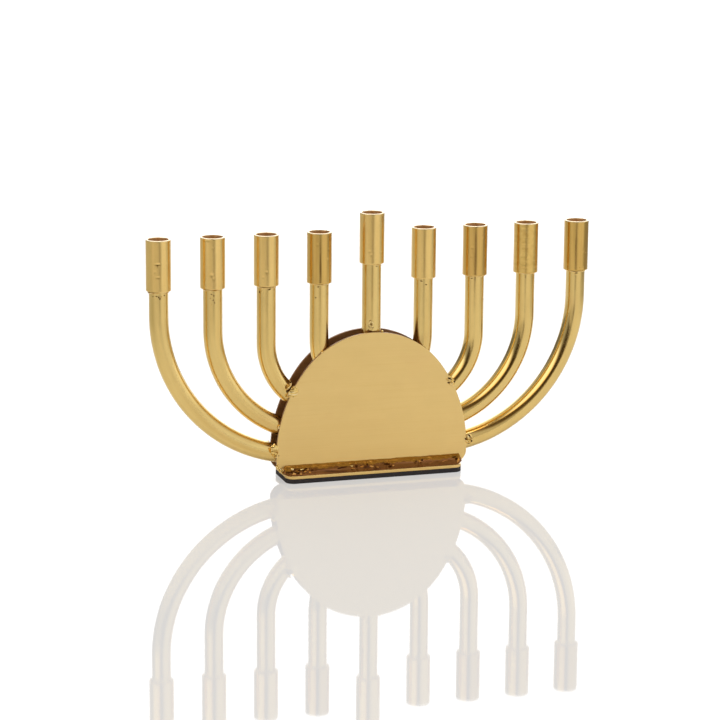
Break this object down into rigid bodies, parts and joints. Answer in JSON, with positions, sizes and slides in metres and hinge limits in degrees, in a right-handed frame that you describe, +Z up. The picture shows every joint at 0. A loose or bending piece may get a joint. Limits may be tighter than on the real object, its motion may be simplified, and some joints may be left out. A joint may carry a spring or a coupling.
{
  "type": "menorah",
  "caption": "Brass candle holder: bent round arms with tube cups, clamped between two upright arch plates soldered onto a flat padded foot.",
  "frame": {"origin": "on the table, under the centre of the foot", "axes": "+X along the row of cups to the right seen from the front, +Y from the front plate to the rear plate, +Z up"},
  "size_m": [0.241, 0.027, 0.14],
  "materials": {
    "sheet_brass": "fine horizontal brushing, satin",
    "bar_brass": "lengthwise brushed satin",
    "cup_brass": "lengthwise brushed satin, bright rim, orange-brown bore",
    "solder": "glossy brown hard solder with bright specks and dark pits",
    "pad_rubber": "matt black"
  },
  "bodies": {
    "root": {"foot_pad": "pad_rubber", "foot_plate": "sheet_brass", "front_plate": "sheet_brass", "rear_plate": "sheet_brass", "shamash_stem": "bar_brass", "left_arm_inner": "bar_brass", "left_arm_second": "bar_brass", "left_arm_third": "bar_brass", "left_arm_outer": "bar_brass", "right_arm_inner": "bar_brass", "right_arm_second": "bar_brass", "right_arm_third": "bar_brass", "right_arm_outer": "bar_brass", "shamash_cup": "cup_brass", "left_cup_inner": "cup_brass", "left_cup_second": "cup_brass", "left_cup_third": "cup_brass", "left_cup_outer": "cup_brass", "right_cup_inner": "cup_brass", "right_cup_second": "cup_brass", "right_cup_third": "cup_brass", "right_cup_outer": "cup_brass", "cup_solder": "solder", "front_foot_solder": "solder", "rear_foot_solder": "solder", "front_arm_solder": "solder", "rear_arm_solder": "solder"}
  },
  "joints": []
}
